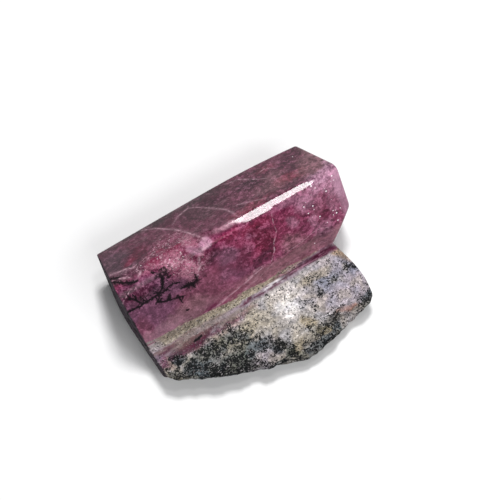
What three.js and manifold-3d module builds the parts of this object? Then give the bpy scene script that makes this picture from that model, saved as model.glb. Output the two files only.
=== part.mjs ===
import * as THREE from 'three';
import { mergeVertices } from 'three/addons/utils/BufferGeometryUtils.js';
import Module from 'manifold-3d';

// Rhodonite freeform: a hand-polished bar of pink rhodonite with a low shelf of rough matrix
// left along one side. It lies on its flat ground back.
// Millimetres, +Z up, +X from the sawn base to the faceted end.
// Places on the stone are written [along, across, up]: along the bar from the sawn base,
// across it from the long outer edge toward the shelf, and up from the resting face.

const ROUGH_BLOCK = { size: [130, 110, 70], middle: [48, 36, 35] };
const WASTE_SPAN = 260;
const OUTER_EDGE_HEIGHT = 24;
const RIDGE_HEIGHT = 44.5;

// Polished faces of the bar. Each is a plane through a place, facing outward.
const BAR_FACES = {
  sawnBaseUpper: { through: [-0.4, 0, OUTER_EDGE_HEIGHT], facing: [-1, -0.055, -0.005] },
  sawnBaseLower: { through: [-1.6, 25, OUTER_EDGE_HEIGHT], facing: [-1, 0.1, -0.005] },
  upperFaceNearBase: { through: [12, -0.75, OUTER_EDGE_HEIGHT], facing: [-0.055, -0.942, 1] },
  upperFaceMiddle: { through: [50, -2.5, OUTER_EDGE_HEIGHT], facing: [-0.027, -0.919, 1] },
  upperFaceNearEnd: { through: [85, -2.3, OUTER_EDGE_HEIGHT], facing: [0.079, -0.958, 1] },
  backFaceNearBase: { through: [12, -0.75, OUTER_EDGE_HEIGHT], facing: [-0.058, -1, -0.29] },
  backFaceMiddle: { through: [50, -2.5, OUTER_EDGE_HEIGHT], facing: [-0.03, -1, -0.29] },
  backFaceNearEnd: { through: [85, -2.3, OUTER_EDGE_HEIGHT], facing: [0.08, -1, -0.29] },
  frontFace: { through: [60, 23.4, 44.2], facing: [0.012, 1.45, 1] },
  frontFaceNearBase: { through: [0, 23.5, RIDGE_HEIGHT], facing: [0, 1.385, 1] },
  lowerFrontFace: { through: [95.8, 34, 29], facing: [0.15, 0.92, 0.36] },
  endFace: { through: [97.8, 20, RIDGE_HEIGHT], facing: [1, 0.03, 0.02] },
  endFaceUpper: { through: [91.9, -0.5, OUTER_EDGE_HEIGHT], facing: [0.93, -0.3, 0] },
  endBevelFront: { through: [93.5, 31, 31.6], facing: [0.45, 0.72, 0.52] },
  endUndercut: { through: [96.2, 35.5, 31], facing: [0.71, 0.66, -0.3] },
  endHeel: { through: [93, 16, 7], facing: [1, -0.12, -0.62] },
  backHeel: { through: [50, 5.5, 5], facing: [0.02, -1, -0.75] },
};

// Narrow flats that soften the long ridge between the upper and front faces.
const RIDGE_FLATS = {
  ridgeFlat: { through: [65, 19.4, RIDGE_HEIGHT], facing: [0, -0.03, 1] },
  ridgeShoulder: { through: [75, 21.5, 44.58], facing: [0.01, 0.4, 1] },
  ridgeRollNearBase: { through: [48.5, 19.8, RIDGE_HEIGHT], facing: [-0.05, 0.08, 1] },
};

// Round-nosed groove ground along the foot of the front face.
const FLUTE = {
  near: [-16, 56.2, 24.4],
  far: [79.5, 49.6, 28.2],
  radius: 14,
};

// The shelf: a polished top, a broken slope falling from it, and a broken wall below.
const SHELF_TOP = {
  polishedTop: { through: [60, 54, 15.4], facing: [0, 0.06, 1] },
  polishedEndRoll: { through: [88.2, 54, 14.9], facing: [0.62, 0.05, 1] },
  polishedBaseRoll: { through: [10, 63.5, 14.6], facing: [-0.1, 0.8, 1] },
};

const BROKEN_SLOPES = {
  slopeMiddle: { through: [56, 68.2, 14.4], facing: [-0.05, 0.82, 1] },
  slopeTowardEnd: { through: [70, 66.3, 14.5], facing: [0.16, 0.74, 1] },
  slopeAtEnd: { through: [85, 66, 14.3], facing: [0.5, 1.5, 1] },
};

const SHELF_RIM = [
  [78, 18, 10],
  [86.9, 39.9, 15],
  [89, 45, 14],
  [91.2, 52.5, 13],
  [91.7, 60, 12],
  [90.6, 65.5, 11],
  [88.2, 69.2, 9],
  [75.9, 71.8, 7],
  [66, 75.4, 7],
  [59.2, 77.2, 7],
  [54.3, 77, 7],
  [47.4, 74.7, 8],
  [31.8, 70.2, 10],
  [18.2, 66.7, 13],
  [9.4, 62, 13],
  [4, 60, 13],
  [0.5, 57, 13],
];
const WALL_UNDERCUT = 0.22;
const SHELF_INSIDE_EDGE = 12;

// Broken surfaces are covered with shallow rounded scoops, the way tough rock flakes.
const WALL_SCOOPS = [
  { up: 1.5, count: 15, radius: 10, depth: 1.5 },
  { up: 5, count: 17, radius: 8, depth: 1.4 },
  { up: 8.5, count: 17, radius: 8, depth: 1.1 },
  { up: 11.5, count: 13, radius: 8, depth: 0.8 },
];
const WALL_SCOOP_SCATTER = 3;
const SLOPE_SCOOPS = { count: 22, radius: 9, depth: 0.6 };
const SLOPE_TOP = 14;
const SLOPE_RUN_PER_RISE = 1.15;
const SLOPE_OUTWARD = { out: 0.6, up: 0.8 };
const SCOOP_VARIETY = { leastRadius: 0.7, radiusSpread: 0.6, leastDepth: 0.5, depthSpread: 1 };
const SCOOP_SEED = 11;
const BROKEN_RIM_START = 6;

const wasm = await Module();
wasm.setup();

function place([along, across, up]) {
  return new THREE.Vector3(along, -across, up);
}

function toSolid(geometry) {
  geometry.deleteAttribute('normal');
  geometry.deleteAttribute('uv');
  const { attributes, index } = mergeVertices(geometry);
  const triangles = [];
  for (let t = 0; t < index.count; t += 3) {
    const corners = [index.getX(t), index.getX(t + 1), index.getX(t + 2)];
    if (new Set(corners).size === 3) triangles.push(...corners);
  }
  return new wasm.Manifold(new wasm.Mesh({
    numProp: 3,
    vertProperties: new Float32Array(attributes.position.array),
    triVerts: new Uint32Array(triangles),
  }));
}

function toGeometry(solid) {
  const mesh = solid.getMesh();
  const geometry = new THREE.BufferGeometry();
  geometry.setAttribute('position', new THREE.BufferAttribute(mesh.vertProperties, 3));
  geometry.setIndex(new THREE.BufferAttribute(mesh.triVerts, 1));
  return geometry;
}

function wasteBeyond({ through, facing }) {
  const outward = place(facing).normalize();
  const waste = new THREE.BoxGeometry(WASTE_SPAN, WASTE_SPAN, WASTE_SPAN);
  const turn = new THREE.Quaternion().setFromUnitVectors(new THREE.Vector3(0, 0, 1), outward);
  const centre = place(through).addScaledVector(outward, WASTE_SPAN / 2);
  waste.applyQuaternion(turn);
  waste.translate(centre.x, centre.y, centre.z);
  return toSolid(waste);
}

function cutTo(solid, faces) {
  return Object.values(faces).reduce((stone, face) => stone.subtract(wasteBeyond(face)), solid);
}

function roughBlock() {
  const block = new THREE.BoxGeometry(...ROUGH_BLOCK.size);
  const middle = place(ROUGH_BLOCK.middle);
  block.translate(middle.x, middle.y, middle.z);
  return toSolid(block);
}

function bar() {
  return cutTo(cutTo(roughBlock(), BAR_FACES), RIDGE_FLATS);
}

function flute() {
  const near = place(FLUTE.near);
  const far = place(FLUTE.far);
  const run = far.clone().sub(near);
  const wheel = new THREE.CapsuleGeometry(FLUTE.radius, run.length(), 10, 44);
  const turn = new THREE.Quaternion().setFromUnitVectors(new THREE.Vector3(0, 1, 0), run.normalize());
  const centre = near.add(far).multiplyScalar(0.5);
  wheel.applyQuaternion(turn);
  wheel.translate(centre.x, centre.y, centre.z);
  return toSolid(wheel);
}

function rimWalls() {
  const walls = {};
  for (let i = 0; i + 1 < SHELF_RIM.length; i += 1) {
    const [along, across, up] = SHELF_RIM[i];
    const [nextAlong, nextAcross] = SHELF_RIM[i + 1];
    const length = Math.hypot(nextAlong - along, nextAcross - across);
    const facing = [(nextAcross - across) / length, (along - nextAlong) / length, -WALL_UNDERCUT];
    walls[`wall${i}`] = { through: [along, across, up], facing };
  }
  return walls;
}

function shelf() {
  const inside = { innerSide: { through: [50, SHELF_INSIDE_EDGE, 0], facing: [0, -1, 0] } };
  const { sawnBaseUpper, sawnBaseLower } = BAR_FACES;
  const limits = { ...inside, sawnBaseUpper, sawnBaseLower, ...SHELF_TOP, ...BROKEN_SLOPES };
  return cutTo(cutTo(roughBlock(), rimWalls()), limits);
}

function seededRandom(seed) {
  let state = seed;
  return () => {
    state = (state * 48271) % 2147483647;
    return state / 2147483647;
  };
}

function brokenRimAt(fraction) {
  const rim = SHELF_RIM.slice(BROKEN_RIM_START);
  const step = fraction * (rim.length - 1);
  const i = Math.min(Math.floor(step), rim.length - 2);
  const here = new THREE.Vector3(...rim[i]);
  const next = new THREE.Vector3(...rim[i + 1]);
  const spot = here.clone().lerp(next, step - i);
  const outward = new THREE.Vector3(next.y - here.y, here.x - next.x, 0).normalize();
  return { spot, outward };
}

function scoop(spot, outward, { radius, depth }) {
  const ball = new THREE.IcosahedronGeometry(radius, 2);
  const centre = spot.clone().addScaledVector(outward, radius - depth);
  ball.rotateX(spot.x);
  ball.rotateZ(spot.y);
  ball.translate(centre.x, -centre.y, centre.z);
  return toSolid(ball);
}

function varied(random, { radius, depth }) {
  const { leastRadius, radiusSpread, leastDepth, depthSpread } = SCOOP_VARIETY;
  return {
    radius: radius * (leastRadius + radiusSpread * random()),
    depth: depth * (leastDepth + depthSpread * random()),
  };
}

function wallScoops(random) {
  const scoops = [];
  for (const row of WALL_SCOOPS) {
    for (let i = 0; i < row.count; i += 1) {
      const { spot, outward } = brokenRimAt((i + random()) / row.count);
      const up = row.up + WALL_SCOOP_SCATTER * (random() - 0.5);
      spot.addScaledVector(outward, -WALL_UNDERCUT * (spot.z - up));
      spot.z = up;
      scoops.push(scoop(spot, outward, varied(random, row)));
    }
  }
  return scoops;
}

function slopeScoops(random) {
  const scoops = [];
  for (let i = 0; i < SLOPE_SCOOPS.count; i += 1) {
    const { spot, outward } = brokenRimAt((i + random()) / SLOPE_SCOOPS.count);
    const rise = (SLOPE_TOP - spot.z) * random();
    spot.addScaledVector(outward, -SLOPE_RUN_PER_RISE * rise);
    spot.z += rise;
    const upAndOut = outward.clone().multiplyScalar(SLOPE_OUTWARD.out);
    upAndOut.z = SLOPE_OUTWARD.up;
    scoops.push(scoop(spot, upAndOut, varied(random, SLOPE_SCOOPS)));
  }
  return scoops;
}

function stone() {
  const random = seededRandom(SCOOP_SEED);
  const whole = bar().subtract(flute()).add(shelf());
  const scoops = [...wallScoops(random), ...slopeScoops(random)];
  return scoops.reduce((solid, hollow) => solid.subtract(hollow), whole);
}

const material = new THREE.MeshStandardMaterial({ color: 0x8c3a5e, roughness: 0.25 });
const geometry = toGeometry(stone());
geometry.computeBoundingBox();
const { min, max } = geometry.boundingBox;
geometry.translate(-(min.x + max.x) / 2, -(min.y + max.y) / 2, -min.z);
const mesh = new THREE.Mesh(geometry, material);
mesh.name = 'rhodonite_freeform';

const part = new THREE.Group();
part.name = 'rhodonite_freeform_part';
part.add(mesh);

export default part;
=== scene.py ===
import math

import bpy
import numpy as np
from mathutils import Matrix, Vector


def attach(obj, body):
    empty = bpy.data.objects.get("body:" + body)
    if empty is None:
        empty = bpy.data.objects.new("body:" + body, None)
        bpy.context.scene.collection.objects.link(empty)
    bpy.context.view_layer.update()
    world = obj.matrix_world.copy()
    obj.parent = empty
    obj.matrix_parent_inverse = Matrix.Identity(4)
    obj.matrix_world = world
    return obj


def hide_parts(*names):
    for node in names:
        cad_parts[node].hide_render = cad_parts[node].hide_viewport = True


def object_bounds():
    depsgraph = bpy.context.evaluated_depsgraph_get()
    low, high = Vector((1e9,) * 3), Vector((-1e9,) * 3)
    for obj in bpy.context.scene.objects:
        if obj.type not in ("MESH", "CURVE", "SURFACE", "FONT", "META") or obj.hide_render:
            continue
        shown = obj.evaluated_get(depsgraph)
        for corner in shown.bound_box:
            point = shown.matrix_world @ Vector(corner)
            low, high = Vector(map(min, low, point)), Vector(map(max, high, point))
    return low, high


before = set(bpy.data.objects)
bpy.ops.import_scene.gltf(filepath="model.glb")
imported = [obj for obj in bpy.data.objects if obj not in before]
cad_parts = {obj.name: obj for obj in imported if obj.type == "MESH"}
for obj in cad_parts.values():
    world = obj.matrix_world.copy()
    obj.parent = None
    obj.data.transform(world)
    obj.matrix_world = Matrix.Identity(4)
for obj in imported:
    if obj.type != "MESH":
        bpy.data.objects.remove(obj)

CAD_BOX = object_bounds()
NODE = "rhodonite_freeform"

# Places on the stone are (along, across, up) in millimetres: along the bar from its sawn base,
# across it from the long outer edge toward the shelf, up from the resting face.
CENTRE_ALONG = 48.2996
CENTRE_ACROSS = 36.256
VOXEL = 0.0006


def to_world(p):
    """Stone millimetres to frame metres, for an (n, 3) array."""
    return np.stack([p[:, 0] - CENTRE_ALONG, CENTRE_ACROSS - p[:, 1], p[:, 2]], -1) / 1000


def to_stone(p):
    return np.stack([p[:, 0] * 1000 + CENTRE_ALONG, CENTRE_ACROSS - p[:, 1] * 1000, p[:, 2] * 1000], -1)


# ---------------------------------------------------------------- the shape, as a distance field

FACES = {
    "base_upper": ((-0.4, 0, 24), (-1, -0.055, -0.005)),
    "base_lower": ((-1.6, 25, 24), (-1, 0.1, -0.005)),
    "upper_near": ((12, -0.75, 24), (-0.055, -0.98, 1)),
    "upper_mid": ((50, -2.5, 24), (-0.027, -0.962, 1)),
    "upper_far": ((85, -2.3, 24), (0.079, -1.005, 1)),
    "back_near": ((12, -0.75, 24), (-0.058, -1, -0.29)),
    "back_mid": ((50, -2.5, 24), (-0.03, -1, -0.29)),
    "back_far": ((85, -2.3, 24), (0.08, -1, -0.29)),
    "front": ((60, 23.4, 44.2), (0.012, 1.45, 1)),
    "front_near": ((0, 23.5, 44.5), (0, 1.385, 1)),
    "front_low": ((95.8, 34, 29), (0.15, 0.92, 0.36)),
    "end": ((97.8, 20, 44.5), (1, 0.03, 0.02)),
    "end_upper": ((91.9, -0.5, 24), (0.93, -0.3, 0)),
    "end_bevel": ((93.5, 31, 31.6), (0.45, 0.72, 0.52)),
    "end_undercut": ((96.2, 35.5, 31), (0.71, 0.66, -0.3)),
    "end_heel": ((93, 16, 7), (1, -0.12, -0.62)),
    "back_heel": ((50, 5.5, 5), (0.02, -1, -0.75)),
    "ridge_flat": ((65, 19.4, 44.5), (0, -0.03, 1)),
    "ridge_roll": ((48.5, 19.8, 44.5), (-0.05, 0.08, 1)),
    "ridge_shoulder": ((75, 22.15, 44.58), (0.01, 0.4, 1)),
    "shelf_top": ((60, 54, 15.4), (0, 0.06, 1)),
    "shelf_end_roll": ((88.2, 54, 14.9), (0.62, 0.05, 1)),
    "shelf_base_roll": ((10, 63.5, 14.6), (-0.1, 0.8, 1)),
    "slope_mid": ((56, 68.2, 14.4), (-0.05, 0.82, 1)),
    "slope_far": ((70, 66.3, 14.5), (0.16, 0.74, 1)),
    "slope_end": ((85, 66, 14.3), (0.5, 1.5, 1)),
}
FLUTE_NEAR = (-16, 56.2, 24.4)
FLUTE_FAR = (79.5, 49.6, 28.2)
FLUTE_RADIUS = 14
RIM = [
    (78, 18, 10), (86.9, 39.9, 15), (89, 45, 14), (91.2, 52.5, 13), (91.7, 60, 12), (90.6, 65.5, 11),
    (88.2, 69.2, 9), (75.9, 71.8, 7), (66, 75.4, 7), (59.2, 77.2, 7), (54.3, 77, 7), (47.4, 74.7, 8),
    (31.8, 70.2, 10), (18.2, 66.7, 13), (9.4, 62, 13), (4, 60, 13), (0.5, 57, 13),
]
# The rim's corners from this one on are broken rather than polished.
BROKEN_RIM = 6
UNDERCUT = 0.22
# Places along the bar: the crack across the ridge, where the ridge is worn, and where it rounds off.
CRACK_ALONG = 65.2
WORN_BEFORE = 50
ROUND_AFTER = 83
# The shelf's polished top swells gently round this place, (along, across), over this reach.
SWELL_AT = (57, 54)
SWELL_REACH = 12
SWELL_RISE = 0.7
# The flakes broken from the shelf's wall, in rows: (up, how many, radius, depth).
FLAKE_ROWS = ((1.5, 15, 10, 1.5), (5, 17, 8, 1.4), (8.5, 17, 8, 1.1), (11.5, 13, 8, 0.8))
SLOPE_FLAKES = 22
SLOPE_FALL = 1.15
SURFACE_ROUNDS = 4


def ease(x):
    """0 to 1 with soft ends."""
    x = np.clip(x, 0, 1)
    return x * x * (3 - 2 * x)


def smax(a, b, r):
    """The larger of two distances, their meeting rounded over about r."""
    h = np.maximum(r - np.abs(a - b), 0.0)
    return np.maximum(a, b) + h * h * 0.25 / r


def smin(a, b, r):
    return -smax(-a, -b, r)


def face(p, name):
    """Distance outside the named flat face."""
    through, facing = (np.array(v, float) for v in FACES[name])
    return (p - through) @ (facing / np.linalg.norm(facing))


def blend_faces(p, names, r):
    d = face(p, names[0])
    for name in names[1:]:
        d = smax(d, face(p, name), r)
    return d


def seeded(seed):
    """A repeatable draw of numbers from 0 to 1."""
    state = [seed]

    def draw():
        state[0] = (state[0] * 48271) % 2147483647
        return state[0] / 2147483647

    return draw


def broken_rim_at(fraction):
    """The place that far along the broken rim, and the outward direction there."""
    rim = RIM[BROKEN_RIM:]
    step = fraction * (len(rim) - 1)
    i = min(int(math.floor(step)), len(rim) - 2)
    here, there = np.array(rim[i], float), np.array(rim[i + 1], float)
    out = np.array([there[1] - here[1], here[0] - there[0], 0.0])
    return here + (there - here) * (step - i), out / np.linalg.norm(out)


def scoops():
    """The shallow flakes broken out of the shelf's wall and slope, as (centre, radius)."""
    draw = seeded(11)
    found = []
    for up, count, size, deep in FLAKE_ROWS:
        for i in range(count):
            spot, out = broken_rim_at((i + draw()) / count)
            level = up + 3 * (draw() - 0.5)
            radius = size * (0.7 + 0.6 * draw())
            depth = deep * (0.5 + draw())
            spot = spot - out * UNDERCUT * (spot[2] - level)
            spot[2] = level
            found.append((spot + out * (radius - depth), radius))
    for i in range(SLOPE_FLAKES):
        spot, out = broken_rim_at((i + draw()) / SLOPE_FLAKES)
        rise = (14 - spot[2]) * draw()
        radius = 9 * (0.7 + 0.6 * draw())
        depth = 0.6 * (0.5 + draw())
        spot = spot - out * SLOPE_FALL * rise
        spot[2] += rise
        aim = out * 0.6 + np.array([0, 0, 0.8])
        found.append((spot + aim * (radius - depth), radius))
    return found


SCOOPS = scoops()


def hash3(i, seed):
    n = (i[:, 0] * 374761393 + i[:, 1] * 668265263 + i[:, 2] * 2147483647 + seed * 974634777) & 0xFFFFFFFF
    n = ((n ^ (n >> 13)) * 1274126177) & 0xFFFFFFFF
    return ((n ^ (n >> 16)) & 0xFFFF) / 65535.0


def noise(p, size, seed):
    """Smooth value noise, 0 to 1, with features about size millimetres across."""
    u = p / size
    cell = np.floor(u).astype(np.int64)
    f = u - cell
    f = f * f * (3 - 2 * f)
    total = 0.0
    for corner in np.ndindex(2, 2, 2):
        c = np.array(corner)
        w = np.prod(np.where(c, f, 1 - f), axis=1)
        total = total + w * hash3(cell + c, seed)
    return total


def grains(p, size, seed):
    """Distance to the nearest of a scatter of points, over size: rounded grains."""
    u = p / size
    cell = np.floor(u).astype(np.int64)
    best = np.full(len(p), 9.0)
    for corner in np.ndindex(3, 3, 3):
        near = cell + np.array(corner) - 1
        point = near + np.stack([hash3(near, seed + k) for k in range(3)], -1)
        best = np.minimum(best, np.linalg.norm(u - point, axis=1))
    return best


def bar(p):
    """Distance outside the polished bar."""
    upper = blend_faces(p, ("upper_near", "upper_mid", "upper_far"), 2.5)
    back = blend_faces(p, ("back_near", "back_mid", "back_far"), 2.5)
    front = smax(face(p, "front"), face(p, "front_near"), 0.6)
    front = smax(front, face(p, "front_low"), 0.8)
    front = smax(front, face(p, "end_bevel"), 4)
    beyond_crack = ease((p[:, 0] - CRACK_ALONG) / 2.6)
    worn = ease((WORN_BEFORE - p[:, 0]) / 14)
    far_round = ease((p[:, 0] - ROUND_AFTER) / 12)
    shoulder = face(p, "ridge_shoulder") - 2.5 * (1 - beyond_crack)
    front = smax(front, shoulder, 0.4 + 1.4 * beyond_crack)
    ridge = smax(face(p, "ridge_flat"), face(p, "ridge_roll"), 0.2)
    d = smax(front, ridge, 0.5 - 0.35 * beyond_crack + 3 * worn + 2 * far_round)
    d = smax(d, upper, 0.15 + 2.5 * worn + 2.4 * far_round)
    near, far = np.array(FLUTE_NEAR, float), np.array(FLUTE_FAR, float)
    run = far - near
    h = np.clip((p - near) @ run / (run @ run), 0, 1)
    flute = FLUTE_RADIUS - np.linalg.norm(p - near - h[:, None] * run, axis=1)
    d = smax(d, flute, 0.5)
    ends = blend_faces(p, ("end", "end_upper", "end_undercut", "end_heel"), 1.0)
    d = smax(d, ends, 1.0)
    d = smax(d, smax(face(p, "base_upper"), face(p, "base_lower"), 1.0), 0.35)
    d = smax(d, smax(back, face(p, "back_heel"), 1.5), 0.8)
    return smax(d, -p[:, 2], 0.3)


def shelf_parts(p):
    """Distances outside the shelf's polished top and outside its broken side."""
    from_swell = ((p[:, 0] - SWELL_AT[0]) ** 2 + (p[:, 1] - SWELL_AT[1]) ** 2) / (2 * SWELL_REACH ** 2)
    top = face(p, "shelf_top") + 0.35 - SWELL_RISE * np.exp(-from_swell)
    top = smax(top, face(p, "shelf_base_roll"), 1.5)
    top = smax(top, face(p, "shelf_end_roll"), 4.0)
    broken = blend_faces(p, ("slope_mid", "slope_far", "slope_end"), 1.0)
    rim = np.array(RIM, float)
    for i in range(len(RIM) - 1):
        step = rim[i + 1] - rim[i]
        out = np.array([step[1], -step[0], -UNDERCUT * math.hypot(step[0], step[1])])
        wall = (p - rim[i]) @ (out / np.linalg.norm(out))
        if i < BROKEN_RIM - 1:
            top = smax(top, wall, 1.6)
        else:
            broken = smax(broken, wall, 0.8)
    for centre, radius in SCOOPS:
        broken = smax(broken, radius - np.linalg.norm(p - centre, axis=1), 0.4)
    return top, broken


def hackle(p):
    """Material missing from the broken surface: stepped, grainy and never outward."""
    coarse = noise(p * (1, 1, 1.4), 5.5, 3)
    step = np.abs(noise(p, 3.2, 5) - 0.5) * 2
    grain = np.clip(grains(p, 2.3, 7), 0, 1)
    fine = noise(p, 1.3, 9)
    return 0.7 * coarse + 0.35 * step + 0.45 * grain + 0.18 * fine


def stone(p, rough=True):
    """Distance outside the whole stone, with or without the hackle of its broken side."""
    top, broken = shelf_parts(p)
    if rough:
        broken = broken + hackle(p) - 0.55
    d = smax(top, broken, 0.3)
    d = smax(d, 12 - p[:, 1], 0.5)
    d = smax(d, smax(face(p, "base_upper"), face(p, "base_lower"), 1.0), 0.35)
    d = smax(d, -p[:, 2], 0.3)
    return smin(bar(p), d, 0.9)


def gradient(p, h=0.12):
    """How the distance rises at p: the outward direction, near the surface."""
    g = np.zeros_like(p)
    for k in range(3):
        step = np.zeros(3)
        step[k] = h
        g[:, k] = (stone(p + step) - stone(p - step)) / (2 * h)
    return g


# ---------------------------------------------------------------- the mesh

def stone_object():
    """The stone as a smooth mesh drawn onto its surface, and its vertices in stone millimetres."""
    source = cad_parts[NODE]
    rough_copy = bpy.data.objects.new("remesh_source", source.data.copy())
    bpy.context.scene.collection.objects.link(rough_copy)
    remesh = rough_copy.modifiers.new("remesh", "REMESH")
    remesh.mode = "VOXEL"
    remesh.voxel_size = VOXEL
    deps = bpy.context.evaluated_depsgraph_get()
    mesh = bpy.data.meshes.new_from_object(rough_copy.evaluated_get(deps))
    bpy.data.objects.remove(rough_copy)
    co = np.zeros(len(mesh.vertices) * 3)
    mesh.vertices.foreach_get("co", co)
    p = to_stone(co.reshape(-1, 3))
    for _ in range(SURFACE_ROUNDS):
        g = gradient(p)
        move = stone(p)[:, None] * g / np.maximum((g * g).sum(1), 0.3)[:, None]
        p = p - np.clip(move, -1.0, 1.0)
    world = to_world(p)
    low, high = (np.array(v) for v in CAD_BOX)
    world = np.clip(world, low, high)
    mesh.vertices.foreach_set("co", world.ravel())
    g = gradient(p)
    g /= np.linalg.norm(g, axis=1)[:, None] + 1e-12
    mesh.polygons.foreach_set("use_smooth", np.ones(len(mesh.polygons), bool))
    mesh.materials.clear()
    mesh.update()
    mesh.normals_split_custom_set_from_vertices(np.stack([g[:, 0], -g[:, 1], g[:, 2]], -1).tolist())
    piece = bpy.data.objects.new("stone", mesh)
    bpy.context.scene.collection.objects.link(piece)
    return piece, p


# ---------------------------------------------------------------- what the stone is made of

# Each mineral as a screen colour, 0 to 255; shade() turns it into the shader's own scale.
MINERALS = {
    "raspberry": (120, 50, 80),
    "ruby": (122, 30, 66),
    "crimson": (120, 14, 54),
    "wine": (72, 20, 46),
    "dusk": (83, 38, 56),
    "ash": (54, 39, 44),
    "grey_mauve": (70, 48, 60),
    "plum": (66, 22, 42),
    "night_plum": (38, 9, 24),
    "brick": (118, 46, 62),
    "dusty": (134, 98, 104),
    "rose": (104, 46, 68),
    "bright_pink": (165, 105, 125),
    "mauve": (98, 58, 82),
    "red_pink": (114, 56, 76),
    "orchid": (158, 112, 134),
    "lavender": (192, 148, 172),
    "brown_red": (140, 94, 106),
    "cream": (155, 149, 144),
    "lilac_grey": (158, 148, 158),
    "blue_grey": (112, 116, 132),
    "beige": (150, 140, 122),
    "tan": (136, 116, 98),
    "drab": (118, 104, 98),
    "rust": (150, 98, 72),
    "ochre": (142, 128, 100),
    "dark_green": (56, 66, 60),
    "steel": (66, 78, 90),
    "grit": (150, 150, 140),
    "purple": (98, 62, 80),
    "dark_base": (46, 40, 46),
    "wisp": (134, 98, 110),
    "vein": (200, 160, 174),
    "blush": (190, 142, 158),
    "white": (228, 220, 222),
    "black": (6, 8, 10),
}


def shade(mineral):
    v = np.array(MINERALS[mineral]) / 255
    return np.where(v <= 0.04045, v / 12.92, ((v + 0.055) / 1.055) ** 2.4)


def stir(p, size, reach, seed):
    """Places moved about by noise, so that an edge drawn on them is ragged."""
    shift = np.stack([noise(p, size, seed + k) for k in range(3)], -1) - 0.5
    return p + 2 * reach * shift


def patch(w, at, reach, turn=0, soft=0.5):
    """1 inside an oval seen from above, 0 outside, easing over soft of its reach."""
    c, s = math.cos(math.radians(turn)), math.sin(math.radians(turn))
    x, q = w[:, 0] - at[0], w[:, 1] - at[1]
    d = np.hypot((x * c + q * s) / reach[0], (q * c - x * s) / reach[1])
    return ease((1 - d) / soft + 0.5)


def lay(ground, mineral, mask):
    """The ground colours with a mineral laid over them as strongly as the mask says."""
    return ground + (shade(mineral) - ground) * mask[:, None]


# Patches seen from above: (mineral, (along, across), (reach, reach), turn, strength).
UPPER_PATCHES = [
    # The first ash band is painted shade: it darkens the upper face toward its back edge, where the face
    # curves away from the light.
    ("ash", (26, -1), (30, 3.5), 0, 0.9),
    ("ash", (44, 7), (9, 4), 15, 0.5),
    ("grey_mauve", (4, 9), (7, 7), 0, 0.8),
    ("plum", (50, 4.2), (7.5, 2.8), 12, 0.95),
    ("plum", (64.5, 6), (6, 3), 10, 0.95),
    ("plum", (78, 3.6), (6, 2.6), 6, 0.5),
    ("night_plum", (64.5, 5), (5.5, 2.8), 10, 0.5),
    ("night_plum", (48.5, 4), (6, 2.4), 12, 0.4),
    ("dusty", (72, 12), (7, 3), 8, 0.4),
    ("wine", (82, 9.5), (7, 2.2), 0, 0.6),
    ("plum", (88, 3), (6, 2.2), 0, 0.8),
    ("plum", (33, 3.8), (8, 2.6), 18, 0.4),
    ("plum", (70, 10), (5, 1.5), 0, 0.4),
    ("plum", (60, -0.5), (7, 1.3), 0, 0.5),
    ("brick", (75.5, 2.6), (5, 1.7), 0, 0.35),
    ("brick", (81, 12.5), (8, 2.5), 0, 0.6),
    ("brick", (60, 17), (10, 2), -5, 0.5),
    # Painted highlight: a soft pale glow along the worn ridge, left of the lamp's own highlight.
    ("blush", (49.5, 19.5), (6.5, 1.1), 0, 0.8),
    ("dusty", (91, 12), (6, 6), 0, 0.5),
    ("dusty", (76, 8), (5, 2.2), 0, 0.35),
    ("dusty", (95, 5), (4, 6), 0, 0.6),
    # Painted sheen: lavender on the rounded corner at the bar's end.
    ("lavender", (96, 18), (3, 4), 0, 0.5),
]
FLECK_PATCHES = [
    ("rose", (26, 19), (12, 9), 30, 0.9),
    ("rose", (15, 15.5), (9, 6.5), 0, 0.75),
    ("rose", (31, 25), (5, 5), 0, 0.8),
    ("bright_pink", (28, 27.8), (3.8, 2.6), 0, 0.7),
    ("bright_pink", (32.5, 17.5), (3.6, 3), 40, 0.6),
    ("crimson", (25, 19), (4, 2.5), 30, 0.3),
    ("bright_pink", (23, 22), (5, 3.5), 0, 0.5),
    ("orchid", (38.1, 21.3), (2.1, 1.8), 0, 0.95),
    ("orchid", (33.4, 22), (3, 1.6), 20, 0.7),
    ("bright_pink", (15.5, 20), (5, 1.6), 0, 0.35),
    ("plum", (12, 12), (7.5, 3.8), -20, 0.95),
    ("crimson", (13, 11.5), (5.5, 2.4), -20, 0.2),
    ("crimson", (8.5, 13.6), (2.6, 1.1), -12, 0.4),
    ("crimson", (16, 18.5), (3, 1.2), 0, 0.4),
    ("crimson", (28.5, 17.2), (1.6, 1.0), 0, 0.7),
    ("crimson", (22, 14.5), (1.4, 1.0), 0, 0.6),
    ("grey_mauve", (7, 17.5), (5, 2.4), 0, 0.5),
]
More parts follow.
